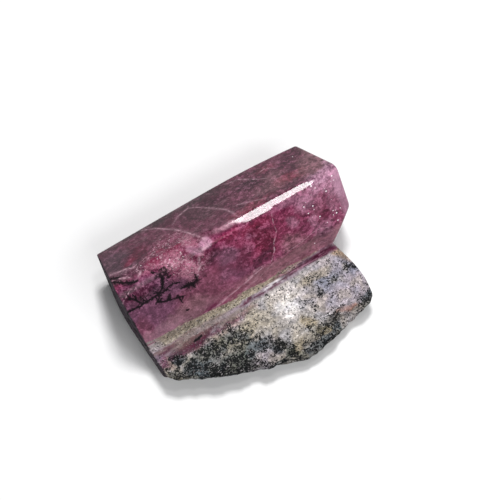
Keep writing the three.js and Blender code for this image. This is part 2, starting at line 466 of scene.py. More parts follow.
FRONT_PATCHES = [
    ("mauve", (12, 34), (24, 9), 0, 0.9),
    ("red_pink", (34, 34), (16, 4.5), -8, 0.75),
    ("red_pink", (1, 37.6), (5, 3.6), 0, 0.6),
    ("mauve", (44, 34.5), (7, 3), 0, 0.55),
    ("mauve", (6, 26), (11, 4.5), 0, 0.85),
    ("ruby", (58, 29), (19, 5.5), 0, 0.6),
    ("ruby", (88, 28), (7, 5), 0, 0.45),
    ("crimson", (46, 23), (6, 1.5), 0, 0.6),
    ("crimson", (55, 24.6), (3, 1.5), 0, 0.5),
    ("crimson", (62, 24.2), (4.5, 2), 0, 0.5),
    ("crimson", (60, 32), (5, 3), 20, 0.5),
    ("crimson", (84, 29.5), (3, 2), 0, 0.4),
    ("plum", (36.6, 26.3), (3.6, 1.8), -10, 0.95),
    ("mauve", (43, 29), (5, 3), 0, 0.7),
    ("orchid", (43, 28.6), (4.6, 2.6), 0, 0.2),
    ("wine", (56.4, 27.2), (3, 2.2), 0, 0.75),
    ("wine", (59.5, 32.8), (2.6, 1.6), 0, 0.7),
    ("wine", (93, 27), (2.6, 1.6), 0, 0.35),
    ("wine", (55, 35), (5, 1.6), -10, 0.6),
    ("wine", (61, 33), (3, 2), 0, 0.5),
    ("wine", (75, 31.2), (4.5, 1.6), 0, 0.3),
    ("wine", (87, 31.5), (5, 2), 0, 0.35),
    ("orchid", (78.9, 25.7), (3.2, 2.2), 0, 0.6),
    ("orchid", (72.3, 29), (2.6, 1.6), 0, 0.5),
    ("orchid", (80.7, 31.1), (2, 1.4), 0, 0.45),
    # Painted sheen: a lilac band under the right half of the ridge highlight.
    ("orchid", (79, 23), (10, 1.8), 0, 0.6),
    ("orchid", (83.7, 34.1), (5, 2), 0, 0.4),
    # Painted sheen: lighter orchid toward the bar's end, and a pale lavender glow painted where the
    # rounded ridge end turns dark.
    ("orchid", (93, 24), (4.5, 4), 0, 0.8),
    ("lavender", (89.5, 19.5), (6, 2.4), 0, 0.6),
    ("wine", (49.5, 31.5), (4, 3), 0, 0.55),
    ("wine", (59.5, 29.5), (3.5, 3), 0, 0.6),
    ("crimson", (58.8, 29.8), (3.6, 3), 0, 0.65),
    ("crimson", (57.5, 25.8), (3.4, 2), 0, 0.5),
    ("dusty", (71, 34.5), (5, 2.5), 0, 0.5),
    ("plum", (70, 38.6), (5, 2), -6, 0.7),
    ("plum", (59, 29), (4, 3), 0, 0.35),
    ("orchid", (84, 27), (4, 3.5), 0, 0.4),
    ("orchid", (91, 29.5), (3, 3), 0, 0.4),
    # Painted sheen under the ridge near its end.
    ("lavender", (87, 22), (4, 2.5), 0, 0.35),
    ("dusty", (21, 38.5), (10, 3), 0, 0.5),
    ("blush", (8, 40.4), (9, 2.2), 0, 0.35),
    ("dusty", (37, 39.5), (6, 2), 0, 0.35),
    ("plum", (5, 26.5), (7, 4), 0, 0.8),
    ("wine", (14, 23.5), (4, 2.5), 0, 0.35),
    ("mauve", (21, 27.5), (5, 3), 0, 0.5),
]
SHELF_PATCHES = [
    ("lilac_grey", (81, 54), (15, 12), 0, 0.9),
    ("blue_grey", (75, 52.6), (7, 3.6), 10, 0.7),
    ("blue_grey", (87, 51.4), (5, 2.6), 0, 0.6),
    ("beige", (73, 47.6), (8, 2.2), 0, 0.7),
    ("tan", (87.5, 44.5), (3, 5), -15, 0.95),
    # Painted highlight: these two white patches add to the lamp's highlight on the shelf's swell and to
    # its spread.
    ("white", (58, 54), (8, 6), 0, 0.3),
    ("white", (57, 47), (6, 2.4), -4, 0.5),
    ("dusty", (30, 50.3), (9, 1.8), -5, 0.55),
    ("dusty", (41, 47.4), (6, 1.6), -6, 0.6),
    ("beige", (45, 53), (9, 4), 0, 0.45),
    ("beige", (32, 55), (12, 5), 0, 0.55),
    ("grit", (35, 61.5), (5, 3), 0, 0.6),
    ("lilac_grey", (37, 69), (7, 4), 0, 0.7),
    ("lilac_grey", (44, 65), (6, 4), 0, 0.5),
    ("beige", (8, 58), (8, 4), 0, 0.5),
    ("ochre", (61.4, 64), (4.5, 2), 40, 0.7),
    ("ochre", (54, 70), (4, 1.8), 0, 0.65),
    ("ochre", (66.6, 68.6), (2.6, 1.6), 0, 0.8),
    ("rust", (79.9, 65.2), (2.8, 0.8), 0, 0.7),
    ("rust", (75, 64.6), (3, 1), 0, 0.5),
    ("purple", (3, 49), (6, 4.5), 0, 0.95),
]
# How thickly dark grains crowd a place, as the share of it that they take.
DARK_PATCHES = [
    ((26, 55.6), (15, 4.4), -8, 0.62),
    ((13.5, 56.5), (5.5, 3.6), 0, 0.66),
    ((20.5, 53), (7, 2.8), -4, 0.7),
    ((31, 50.6), (8, 1.6), -5, 0.42),
    ((34, 60), (6.5, 3.4), 0, 0.58),
    ((40.5, 62.5), (6, 3.2), 0, 0.6),
    ((46.5, 65.5), (5, 3.2), 0, 0.62),
    ((63, 67.5), (5, 2), 40, 0.45),
    ((72.5, 64.5), (5, 2), -10, 0.42),
    ((36.5, 56.5), (3.6, 2.6), 0, 0.6),
    ((27, 64), (10.5, 4.6), 8, 0.78),
    ((15, 61), (7, 5), 10, 0.74),
    ((20, 66), (9, 4), 20, 0.85),
    ((4.5, 57), (6, 4.5), 20, 0.5),
    ((9.3, 50.4), (2.8, 3.4), 0, 0.98),
    ((44, 65), (4.5, 4), 0, 0.4),
    ((36, 70), (7, 3), 0, 0.45),
    ((49.6, 69.4), (2.8, 2.2), 0, 0.9),
    ((70, 67.4), (9, 2.2), -6, 0.5),
    ((79, 69), (5, 2), 0, 0.45),
    ((60, 72), (7, 2), 0, 0.4),
    ((87.5, 64.5), (5, 2.6), -20, 0.6),
    ((76.5, 52), (5, 2.4), 10, 0.42),
    ((71, 54.5), (3, 2), 0, 0.36),
    ((87, 51.3), (4.5, 2), 0, 0.42),
    ((70, 48.4), (6, 2), 0, 0.3),
    ((52, 46.8), (9, 1.6), 0, 0.26),
    ((66, 59), (4, 2), 60, 0.24),
    ((44, 60), (6, 3), 0, 0.24),
]
# Thin streaks drawn out along the foot of the bar, given as the patches are. The white, orchid and blush
# ones and the long lilac-grey one are painted highlights and sheen along the hollow's crest and foot; the
# rest are the stone's own stripes.
STREAKS = [
    ("lilac_grey", (2, 43.6), (4, 2.2), 0, 0.6),
    ("purple", (9, 46), (5.5, 1.4), -3, 0.85),
    ("plum", (9, 46.2), (4.5, 1.3), -3, 0.5),
    ("lilac_grey", (51, 44.2), (11, 0.7), -9, 0.8),
    ("white", (56.6, 42.9), (4.5, 0.4), -9, 0.7),
    ("white", (41, 46), (5, 0.35), -6, 0.4),
    ("wine", (62, 44), (5, 0.35), -10, 0.85),
    ("plum", (60, 41.4), (5, 0.6), -8, 0.6),
    ("drab", (27, 44.3), (8, 1.1), -3, 0.95),
    ("drab", (35.5, 47.2), (6, 1.1), -7, 0.9),
    ("wine", (69.5, 42.9), (4, 0.5), -4, 0.7),
    ("drab", (14, 46), (6, 1.2), -4, 0.4),
    ("wine", (71, 41.6), (12, 0.6), -2, 0.8),
    ("plum", (78, 41.6), (9, 1), -1, 0.35),
    ("orchid", (69, 42.3), (5, 0.25), -6, 0.7),
    ("orchid", (77, 41.9), (4, 0.2), -2, 0.5),
    ("orchid", (66, 40.9), (8, 0.2), -3, 0.6),
    ("blush", (44.5, 38.6), (5, 0.4), -9.5, 0.6),
    ("blush", (52, 37.2), (4, 0.35), -9.5, 0.6),
    ("blush", (36, 40), (5, 0.35), -9.5, 0.5),
    ("blush", (49, 39.4), (7, 0.25), -13, 0.35),
    ("purple", (83.5, 37.4), (4, 2.2), -8, 0.5),
    ("wine", (70, 39.4), (9, 1.3), -2, 0.4),
    ("dusty", (75, 37), (6, 0.6), -8, 0.5),
    ("dusty", (64, 39.4), (6, 0.3), -6, 0.5),
]
# Where the shelf's stripes start and stop: along the bar, then how far across.
STRIPE_ALONG = [2, 12, 21, 30, 39, 50, 61, 72, 84]
BEIGE_FROM = [41.6, 41.1, 41.0, 40.8, 41.0, 40.7, 40.7, 40.1, 40.0]
BEIGE_TO = [44.6, 44.2, 44.1, 43.9, 44.0, 43.4, 42.0, 40.7, 40.1]
BAND_TO = [47.2, 51.2, 50.2, 48.5, 46.8, 45.5, 45.0, 43.8, 42.5]

# Lines seen from above, as (along, across, half width), laid down on the surface below them.
BLACK_STRANDS = [
    [(17, 25.2, 0.8), (16.4, 26.6, 0.7), (16, 27.2, 0.55), (15.2, 28.5, 0.45), (13, 29.3, 0.4),
     (10.5, 29.7, 0.42), (8.3, 29.8, 0.4), (6.4, 30, 0.4), (5.1, 29.2, 0.3), (3.2, 27.4, 0.28),
     (1.6, 26.4, 0.2)],
    [(6.4, 30, 0.3), (3.6, 30.2, 0.42), (1.2, 29.9, 0.3), (-1.1, 30, 0.4)],
    [(13, 29.3, 0.3), (14.9, 29.7, 0.32), (17.1, 29, 0.3), (19.9, 28.7, 0.33), (22.6, 29.4, 0.2)],
    [(11.1, 31.5, 0.42), (13.4, 32.1, 0.38), (16.3, 32.6, 0.28), (19.5, 33.1, 0.25), (22.3, 33.6, 0.15)],
    [(11.1, 31.5, 0.3), (12.6, 30.4, 0.25), (13, 29.3, 0.3)],
    [(22.5, 31, 0.5), (25, 31.3, 0.9), (27, 31.4, 1.0), (28.6, 31, 0.7), (29.6, 30.2, 0.3)],
    [(14.2, 22.3, 0.4), (14.7, 22.5, 0.3)],
    [(20.5, 37.6, 0.4), (21.1, 37.8, 0.3)],
    [(-0.6, 18.1, 0.5), (0.1, 18.5, 0.5), (2.6, 20.6, 0.45), (6.1, 22.2, 0.45), (7.8, 22.3, 0.25)],
    [(-0.6, 15.9, 0.5), (1.2, 17, 0.45), (2.4, 17.3, 0.3)],
    [(17.6, 48.6, 0.4), (19.4, 48.4, 0.75), (21.4, 47.8, 0.4)],
    [(39.4, 69.8, 0.25), (44.6, 71.1, 0.3), (50.3, 73.2, 0.35), (54.9, 75, 0.3)],
]
PALE_STRANDS = [
    [(19.5, 0.3, 0.15), (24.9, 3.2, 0.25), (30.8, 8.7, 0.25), (35, 14.8, 0.4), (37.7, 19.8, 0.5),
     (38.2, 20.3, 0.7)],
    [(38.6, 22.7, 0.9), (36.4, 23.4, 0.5), (34.5, 24.1, 0.4), (32.8, 25.5, 0.5), (32.2, 27.7, 0.6),
     (30.6, 29.3, 0.5), (29.3, 30.7, 0.3)],
    [(31.3, 5.8, 0.2), (35, 3.2, 0.25), (40, 1.8, 0.25), (43, 3.3, 0.2), (46, 6.1, 0.2),
     (51.8, 12.2, 0.25), (53.2, 15.5, 0.25), (53.8, 18.6, 0.15)],
    [(58, -0.4, 0.15), (63.8, 0.8, 0.22), (69.5, 5.5, 0.2), (72.8, 7.5, 0.15)],
    [(72.3, 2.8, 0.15), (75, 2.1, 0.22), (78.1, 4.6, 0.15)],
    [(56.4, 12.9, 0.15), (62.4, 15.1, 0.22), (67.5, 17.1, 0.15)],
    [(-0.2, 14.1, 0.3), (3.1, 14.7, 0.35), (7.2, 15.4, 0.4), (9.5, 17.1, 0.5), (10.3, 19.9, 0.55),
     (8.7, 21.4, 0.4), (6.1, 22.2, 0.25)],
    [(-0.3, 17.4, 0.45), (1.7, 18, 0.5), (4, 18.9, 0.45), (6.3, 20.3, 0.3)],
    [(4.8, 23.4, 0.15), (2, 25.1, 0.2), (0, 26.2, 0.25), (-1.4, 27, 0.3)],
    [(66, 23.8, 0.12), (65.3, 27, 0.16), (65.5, 29, 0.2), (64.3, 30.4, 0.2), (62.6, 32, 0.24),
     (62, 34, 0.26), (59.2, 36.6, 0.14)],
    # The last three lines are painted highlights along the crest of the hollow, not veins.
    [(56, 36.8, 0.12), (53.9, 37.2, 0.22), (46.4, 38.6, 0.26), (39.9, 39.7, 0.26), (33.4, 40.8, 0.24),
     (25.5, 41.2, 0.12)],
    [(62, 36.6, 0.1), (52, 39.2, 0.16), (44, 40.4, 0.1)],
    [(63.2, 36.8, 0.08), (68.2, 36.1, 0.12), (73.9, 35.6, 0.12), (78.9, 34.6, 0.12),
     (82.6, 34.6, 0.12), (85.4, 35.3, 0.14), (87.3, 37.2, 0.1)],
]


def drop(points):
    """Points at (along, across) lowered until they rest on the stone, looking from above."""
    p = np.array([(x, q, 48.0) for x, q, *_ in points])
    for _ in range(60):
        p[:, 2] -= np.maximum(stone(p, False), 0) * 0.7
    return p


def twigs(lines, seed):
    """Short side branches along the lines, thinner than the line they leave."""
    draw = seeded(seed)
    found = []
    for line in lines:
        for a, b in zip(line, line[1:]):
            run = math.dist(a[:2], b[:2])
            for _ in range(int(run / 1.6 + draw())):
                t, side = draw(), 1 if draw() > 0.5 else -1
                angle = math.atan2(b[1] - a[1], b[0] - a[0]) + side * (0.5 + 0.7 * draw())
                start = [a[k] + (b[k] - a[k]) * t for k in range(3)]
                reach = 0.5 + 2.4 * draw() ** 2
                bend = angle + 0.8 * (draw() - 0.5)
                half = reach * 0.5
                middle = (start[0] + half * math.cos(angle), start[1] + half * math.sin(angle), 0.22)
                end = (middle[0] + half * math.cos(bend), middle[1] + half * math.sin(bend), 0.12)
                found.append([(start[0], start[1], 0.3), middle, end])
    return found


def strands(lines, p):
    """Offset to, and distance from, the nearest line, both counted in the line's half widths."""
    best = np.full(len(p), 1e9)
    pull = np.zeros_like(p)
    for line in lines:
        dense = []
        for a, b in zip(line, line[1:]):
            count = max(2, int(math.dist(a[:2], b[:2]) / 0.8))
            dense += [tuple(np.array(a) + (np.array(b) - np.array(a)) * i / count) for i in range(count)]
        dense.append(line[-1])
        spots, widths = drop(dense), np.array([d[2] for d in dense])
        low, high = spots.min(0) - 8, spots.max(0) + 8
        near = np.where(((p > low) & (p < high)).all(1))[0]
        q = p[near]
        for i in range(len(spots) - 1):
            run = spots[i + 1] - spots[i]
            t = np.clip((q - spots[i]) @ run / max(run @ run, 1e-9), 0, 1)
            width = widths[i] + (widths[i + 1] - widths[i]) * t
            offset = (spots[i] + t[:, None] * run - q) / width[:, None]
            length = np.linalg.norm(offset, axis=1)
            closer = length < best[near]
            best[near[closer]] = length[closer]
            pull[near[closer]] = offset[closer]
    return np.minimum(best, 30), np.where(best[:, None] < 30, pull, 30)


def near_face(p, names, reach=0.6):
    """1 on the named flat faces, 0 away from them."""
    found = np.zeros(len(p))
    for name in names:
        found = np.maximum(found, ease(1.5 - np.abs(face(p, name)) / reach))
    return found


def paint(p):
    """Every number and colour that the material reads, by name."""
    wide = stir(p, 7, 1.6, 21)
    ragged = stir(wide, 2.4, 0.9, 31)
    fine = stir(ragged, 1.1, 0.35, 41)
    along, across, up = p.T
    broken = shelf_parts(p)[1]
    on_bar = bar(p)

    # The bar: a dull upper face, a raspberry front and a flecked pink zone toward the base.
    upper = ease((20.5 - wide[:, 1]) / 3 + 0.5)
    ground = np.repeat(shade("raspberry")[None], len(p), 0)
    # Dusk over the upper face: partly its own duller tone, partly painted sheen and shade of a face tilted
    # back from the light.
    ground = lay(ground, "dusk", upper)
    calm = np.zeros(len(p))
    for mineral, at, reach, turn, strength in UPPER_PATCHES:
        mask = patch(ragged, at, reach, turn, 0.9) * strength * (across < 24)
        ground = lay(ground, mineral, mask)
        if mineral in ("plum", "wine"):
            calm = np.maximum(calm, 0.8 * mask)
    for mineral, at, reach, turn, strength in FRONT_PATCHES:
        ground = lay(ground, mineral, patch(ragged, at, reach, turn, 0.8) * strength)
    fleck_zone = np.zeros(len(p))
    for mineral, at, reach, turn, strength in FLECK_PATCHES:
        mask = patch(ragged, at, reach, turn, 0.5) * strength
        ground = lay(ground, mineral, mask)
        calm = np.maximum(calm, mask)
        if mineral in ("plum", "crimson", "orchid"):
            fleck_zone = fleck_zone * (1 - mask)
        else:
            fleck_zone = np.maximum(fleck_zone, mask)
    # Lavender on the end bevel and lilac-grey on the end undercut: partly painted sheen of facets turned
    # to the light, partly their own paler tone.
    bevel = near_face(p, ("end_bevel",)) * ease((wide[:, 0] - 90.5) / 4)
    ground = lay(ground, "lavender", bevel * 0.5)
    ground = lay(ground, "lilac_grey", near_face(p, ("end_undercut",)) * 0.6)

    low_front = ease((56 - along) / 12) * ease((wide[:, 1] - 27) / 4)
    plates = ease((60 - along) / 10) * upper

    # The hollow along the bar's foot, and the stripes where it runs out onto the shelf.
    hollow = ease((26 - up) / 3) * ease((across - 33) / 3) * (up > 15)
    ground = lay(ground, "brown_red", hollow * ease((along - 36) / 16) * 0.9)
    grit = stir(p, 1.0, 0.25, 61)
    grit[:, 1] += 1.5 * (noise(np.c_[along / 9, across / 0.45, 0 * along], 1, 85) - 0.5)
    beige_from, beige_to, band_to = (
        np.interp(along, STRIPE_ALONG, edge) for edge in (BEIGE_FROM, BEIGE_TO, BAND_TO)
    )
    in_band = (grit[:, 1] - beige_to) / (band_to - beige_to)

    def between(low, high, edge):
        past_low = ease((grit[:, 1] - low) / edge + 0.5)
        short_of_high = ease((high - grit[:, 1]) / edge + 0.5)
        return past_low * short_of_high * (up < 20.5) * (up > 13)

    beige_band = between(beige_from, beige_to, 0.5) * (along < 78)
    band = between(beige_to, band_to, 0.8)
    streaks = noise(np.c_[along / 9, in_band * 3.2, 0 * along], 1, 81)

    # The shelf: pale and dark grains.
    matrix = ease((across - 42.6) / 1.2 + 0.5) * (up < 17.6)
    under = ease((ragged[:, 1] - 38 + 0.35 * (16 - up)) / 1.5 + 0.5) * (up < 15)
    matrix = np.maximum(matrix, under)
    shelf = np.repeat(shade("cream")[None], len(p), 0)
    dark = np.full(len(p), 0.09)
    for mineral, at, reach, turn, strength in SHELF_PATCHES:
        shelf = lay(shelf, mineral, patch(ragged, at, reach, turn, 0.8) * strength)
    for at, reach, turn, strength in DARK_PATCHES:
        dark = np.maximum(dark, patch(ragged, at, reach, turn, 1.1) * strength)
    blotch = noise(ragged, 3.0, 71)
    shelf = lay(shelf, "beige", ease((blotch - 0.5) * 4) * 0.4)
    shelf = lay(shelf, "blue_grey", ease((0.42 - blotch) * 5) * 0.35)
    rough = ease((broken + 0.9) / 0.5) * (on_bar > 0.3)
    # Low on the broken side, below 11 mm, the dark grains crowd thicker: partly painted shade of the
    # undercut wall.
    rim = rough * (up < 11)
    dark = np.maximum(dark, 0.45 * rim + 0.3 * noise(ragged, 6, 51) * rough)
    dark = dark * (1 - 0.7 * patch(ragged, (78.5, 67.5), (5, 2.6), 0, 1.0))
    crowd = ease((dark - 0.25) / 0.5)
    shelf = lay(shelf, "dark_green", crowd * 0.75)
    shelf = lay(shelf, "steel", crowd * ease((noise(ragged, 4.5, 75) - 0.45) * 5) * 0.6)
    ground = ground + (shelf - ground) * matrix[:, None]

    # The stripes: beige and grainy, then mauve with wine and whitish streaks; the lilac-grey whitish
    # streaks are partly painted sheen along the foot.
    left = ease((44 - along) / 16)
    ground = lay(ground, "beige", beige_band * 0.9)
    ground = lay(ground, "drab", beige_band * ease((30 - along) / 16) * 0.35)
    ground = lay(ground, "purple", band * (0.9 - 0.25 * left))
    ground = lay(ground, "lilac_grey", band * ease((streaks - 0.54) * 7) * (0.6 - 0.25 * left))
    ground = lay(ground, "wine", band * ease((0.46 - streaks) * 8) * 0.9)
    ground = lay(ground, "wine", patch(fine, (15, 49), (8.5, 2.4), -4, 0.8) * 0.85)
    ground = lay(ground, "wine", patch(fine, (29, 48.4), (12, 0.9), -3, 0.9) * 0.75)
    ground = lay(ground, "beige", band * left * ease((0.9 - in_band) * 2) * 0.25)
    thread = ease((noise(np.c_[along / 3, across / 0.3, 0 * along], 1, 87) - 0.15) * 3)
    for mineral, at, reach, turn, strength in STREAKS:
        ground = lay(ground, mineral, patch(grit, at, reach, turn, 0.9) * strength * thread)
    dark = np.where(band > 0.5, np.maximum(0.16 * left, dark * ease(in_band - 0.4)), dark)
    dark = dark * np.maximum(matrix, beige_band)

    # The sawn base, painted dark: its own dull grey-green, darkened further as painted shade of a face
    # turned from the light.
    base = near_face(p, ("base_upper", "base_lower"), 0.35)
    ground = lay(ground, "dark_base", base)

    black_far, black_pull = strands(BLACK_STRANDS + twigs(BLACK_STRANDS[:8], 5), p)
    pale_far, pale_pull = strands(PALE_STRANDS, p)
    smudge = patch(fine, (17.4, 25), (4.2, 3.4), 0, 1.6)
    smudge = np.maximum(smudge, patch(fine, (26.6, 31.3), (3.8, 1.6), 0, 1.4) * 0.9)
    smudge = np.maximum(smudge, patch(fine, (11, 29.8), (5, 2.2), 0, 1.4) * 0.75)
    return {
        "ground": ground,
        "dark": dark,
        "matrix": np.clip(np.maximum(matrix, beige_band) - 0.5 * band, 0, 1),
        "flecks": fleck_zone * (1 - base),
        "smudge": smudge,
        "black_far": black_far,
        "black_pull": black_pull,
        "pale_far": pale_far,
        "pale_pull": pale_pull,
        "broken": np.clip(rough, 0, 1),
        "dark_base": base,
        # The veil evens out the mottling where a reflected haze lies: painted sheen on the end bevel, the
        # hollow, the low front and the upper face.
        "sheen_veil": np.maximum.reduce([0.65 * bevel, 0.5 * hollow, 0.35 * low_front, 0.35 * plates]),
        "upper": upper * (1 - matrix) * (1 - calm),
        # Where the painted glints crowd, toward the bar's end.
        "painted_glint_area": patch(p, (88, 27), (12, 7), 0, 1.0),
    }


def keep_fields(mesh, fields):
    """Store the painted values on the mesh, where the material reads them by name."""
    for name, values in fields.items():
        values = np.asarray(values, np.float32)
        if name == "ground":
            layer = mesh.attributes.new(name, "FLOAT_COLOR", "POINT")
            layer.data.foreach_set("color", np.c_[values, np.ones(len(values))].ravel())
        elif values.ndim == 2:
            layer = mesh.attributes.new(name, "FLOAT_VECTOR", "POINT")
            layer.data.foreach_set("vector", values.ravel())
        else:
            layer = mesh.attributes.new(name, "FLOAT", "POINT")
            layer.data.foreach_set("value", values)


# ---------------------------------------------------------------- the material

class Nodes:
    """Shorthand for wiring one material, with places in millimetres.

    A shift or seed only picks which part of a noise is used.
    """

    def __init__(self, name):
        self.material = bpy.data.materials.new(name)
        self.material.use_nodes = True
        self.tree = self.material.node_tree
        self.shader = self.tree.nodes["Principled BSDF"]
        where = self.add("ShaderNodeTexCoord")
        scale = self.add("ShaderNodeVectorMath", operation="SCALE")
        self.put(scale.inputs[0], where.outputs["Object"])
        self.put(scale.inputs["Scale"], 1000.0)
        self.place = scale.outputs[0]

    def add(self, kind, **settings):
        node = self.tree.nodes.new(kind)
        for key, value in settings.items():
            setattr(node, key, value)
        return node

    def put(self, socket, value):
        if isinstance(value, bpy.types.NodeSocket):
            self.tree.links.new(value, socket)
        else:
            socket.default_value = value

    def field(self, name, output="Fac"):
        return self.add("ShaderNodeAttribute", attribute_name=name).outputs[output]

    def math(self, operation, a, b=0.0, clamp=False):
        node = self.add("ShaderNodeMath", operation=operation, use_clamp=clamp)
        self.put(node.inputs[0], a)
        self.put(node.inputs[1], b)
        return node.outputs[0]

    def ramp(self, value, low, high, start=0.0, end=1.0):
        node = self.add("ShaderNodeMapRange", interpolation_type="SMOOTHSTEP")
        self.put(node.inputs["Value"], value)
        self.put(node.inputs["From Min"], low)
        self.put(node.inputs["From Max"], high)
        self.put(node.inputs["To Min"], start)
        self.put(node.inputs["To Max"], end)
        return node.outputs[0]

    def moved(self, stretch, shift, turn=0):
        node = self.add("ShaderNodeMapping")
        self.put(node.inputs["Vector"], self.place)
        self.put(node.inputs["Rotation"], (0, 0, math.radians(turn)))
        self.put(node.inputs["Location"], (shift * 17.3, shift * 7.7, shift * 11.9))
        self.put(node.inputs["Scale"], stretch)
        return node.outputs[0]

    def noise(self, size, detail=2.0, roughness=0.5, stretch=(1, 1, 1), shift=0, turn=0):
        node = self.add("ShaderNodeTexNoise")
        self.put(node.inputs["Vector"], self.moved(stretch, shift, turn))
        self.put(node.inputs["Scale"], 1.0 / size)
        self.put(node.inputs["Detail"], detail)
        self.put(node.inputs["Roughness"], roughness)
        return node.outputs["Fac"]

    def facets(self, size, shift):
        """A random number, 0 to 1, for each of a scatter of angular grains with ragged edges."""
        shake = self.add("ShaderNodeTexNoise")
        self.put(shake.inputs["Vector"], self.moved((1, 1, 1), shift + 0.5))
        self.put(shake.inputs["Scale"], 1.3 / size)
        self.put(shake.inputs["Detail"], 2.0)
        middle = self.vector("SUBTRACT", shake.outputs["Color"], (0.5, 0.5, 0.5))
        stirred = self.vector("SCALE", middle, scale=1.3 * size)
        place = self.vector("ADD", self.moved((1, 1, 1), shift), stirred)
        node = self.add("ShaderNodeTexVoronoi")
        self.put(node.inputs["Vector"], place)
        self.put(node.inputs["Scale"], 1.0 / size)
        split = self.add("ShaderNodeSeparateColor")
        self.put(split.inputs[0], node.outputs["Color"])
        return split.outputs[0]

    def sum(self, *parts):
        """The sum of (amount, value) pairs, each value counted from its middle, 0.5."""
        total = 0.0
        for amount, value in parts:
            offset = self.math("MULTIPLY", self.math("SUBTRACT", value, 0.5), amount)
            total = self.math("ADD", offset, total)
        return total

    def cells(self, size, shift=0):
        """Distance from the middle of each of a scatter of cells, and a random number for each."""
        node = self.add("ShaderNodeTexVoronoi")
        self.put(node.inputs["Vector"], self.moved((1, 1, 1), shift))
        self.put(node.inputs["Scale"], 1.0 / size)
        split = self.add("ShaderNodeSeparateColor")
        self.put(split.inputs[0], node.outputs["Color"])
        return node.outputs["Distance"], split.outputs[0], split.outputs[1]

    def blend(self, amount, a, b, mode="MIX"):
        node = self.add("ShaderNodeMix", data_type="RGBA", blend_type=mode)
        self.put(node.inputs[0], amount)
        self.put(node.inputs[6], a)
        self.put(node.inputs[7], b)
        return node.outputs[2]

    def grey(self, value):
        node = self.add("ShaderNodeCombineColor")
        for k in range(3):
            self.put(node.inputs[k], value)
        return node.outputs[0]

    def vector(self, operation, a, b=(0, 0, 0), scale=1.0):
        node = self.add("ShaderNodeVectorMath", operation=operation)
        self.put(node.inputs[0], a)
        if operation == "SCALE":
            self.put(node.inputs["Scale"], scale)
        else:
            self.put(node.inputs[1], b)
        return node.outputs[0]

    def length(self, vector):
        node = self.add("ShaderNodeVectorMath", operation="LENGTH")
        self.put(node.inputs[0], vector)
        return node.outputs["Value"]


def tone(mineral):
    return (*shade(mineral).tolist(), 1.0)


def strand_mask(n, name, jag, soft):
    """1 on the lines kept under name, jagged by so many half widths."""
    shake = n.add("ShaderNodeTexNoise")
    n.put(shake.inputs["Vector"], n.moved((1, 1, 1), 5))
    shake.inputs["Scale"].default_value = 0.9
    shake.inputs["Detail"].default_value = 3.0
    shake.inputs["Roughness"].default_value = 0.7
    middle = n.vector("SUBTRACT", shake.outputs["Color"], (0.5, 0.5, 0.5))
    pull = n.vector("ADD", n.field(name + "_pull", "Vector"), n.vector("SCALE", middle, scale=jag))
    far = n.math("SUBTRACT", n.field(name + "_far"), 0.8 + 0.5 * jag)
    reach = n.math("MAXIMUM", n.length(pull), far)
    return n.ramp(reach, 1 + soft, 1 - soft)


